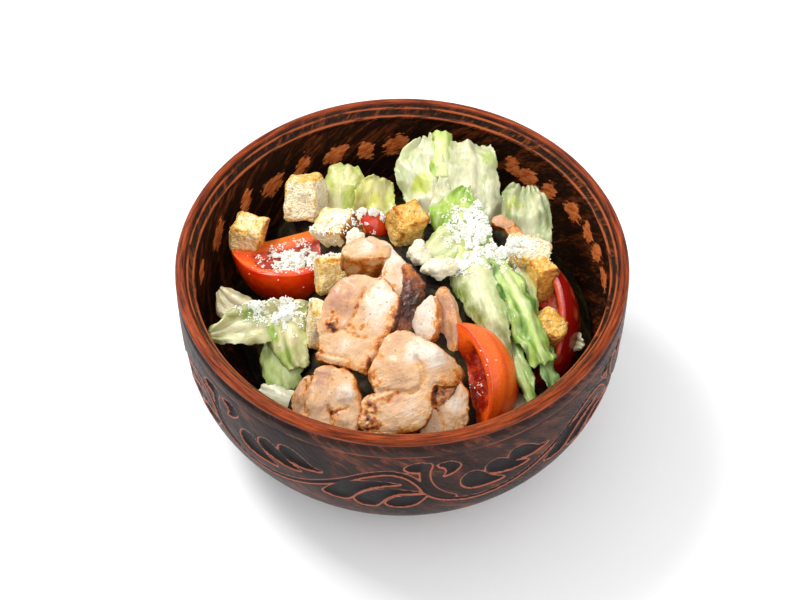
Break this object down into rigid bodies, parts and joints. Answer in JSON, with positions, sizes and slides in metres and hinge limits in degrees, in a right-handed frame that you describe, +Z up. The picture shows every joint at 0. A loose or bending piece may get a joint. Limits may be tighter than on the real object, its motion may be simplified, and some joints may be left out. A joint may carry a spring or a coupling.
{
  "type": "chicken caesar salad in a bowl",
  "caption": "Chicken caesar salad with lettuce, croutons, tomato wedges and grated cheese, heaped in a round carved clay bowl.",
  "frame": {"origin": "centre of the bowl's foot, on the surface it stands on", "axes": "+Z up along the bowl's axis, -Y towards the eater, +X to the eater's right"},
  "size_m": [0.1816, 0.1816, 0.0941],
  "materials": {
    "clay": "dark burnished clay worn to orange terracotta on the lip",
    "lettuce": "moist crisp leaf",
    "meat": "moist fried meat with browned edges",
    "bread": "dry toasted bread",
    "tomato": "wet glossy flesh and skin",
    "cheese": "dry crumbly cheese"
  },
  "bodies": {
    "root": {"bowl": "clay", "lettuce": "lettuce", "chicken_slice_1": "meat", "chicken_slice_2": "meat", "chicken_slice_3": "meat", "chicken_slice_4": "meat", "chicken_slice_5": "meat", "chicken_slice_6": "meat", "chicken_slice_7": "meat", "chicken_curl": "meat", "chicken_bit": "meat", "crouton_1": "bread", "crouton_2": "bread", "crouton_3": "bread", "crouton_4": "bread", "crouton_5": "bread", "crouton_6": "bread", "crouton_7": "bread", "crouton_8": "bread", "crouton_9": "bread", "cheese_lump_1": "cheese", "cheese_lump_2": "cheese", "cheese_lump_3": "cheese", "tomato_left": "tomato", "tomato_front": "tomato", "tomato_right": "tomato", "tomato_middle": "tomato"}
  },
  "joints": []
}
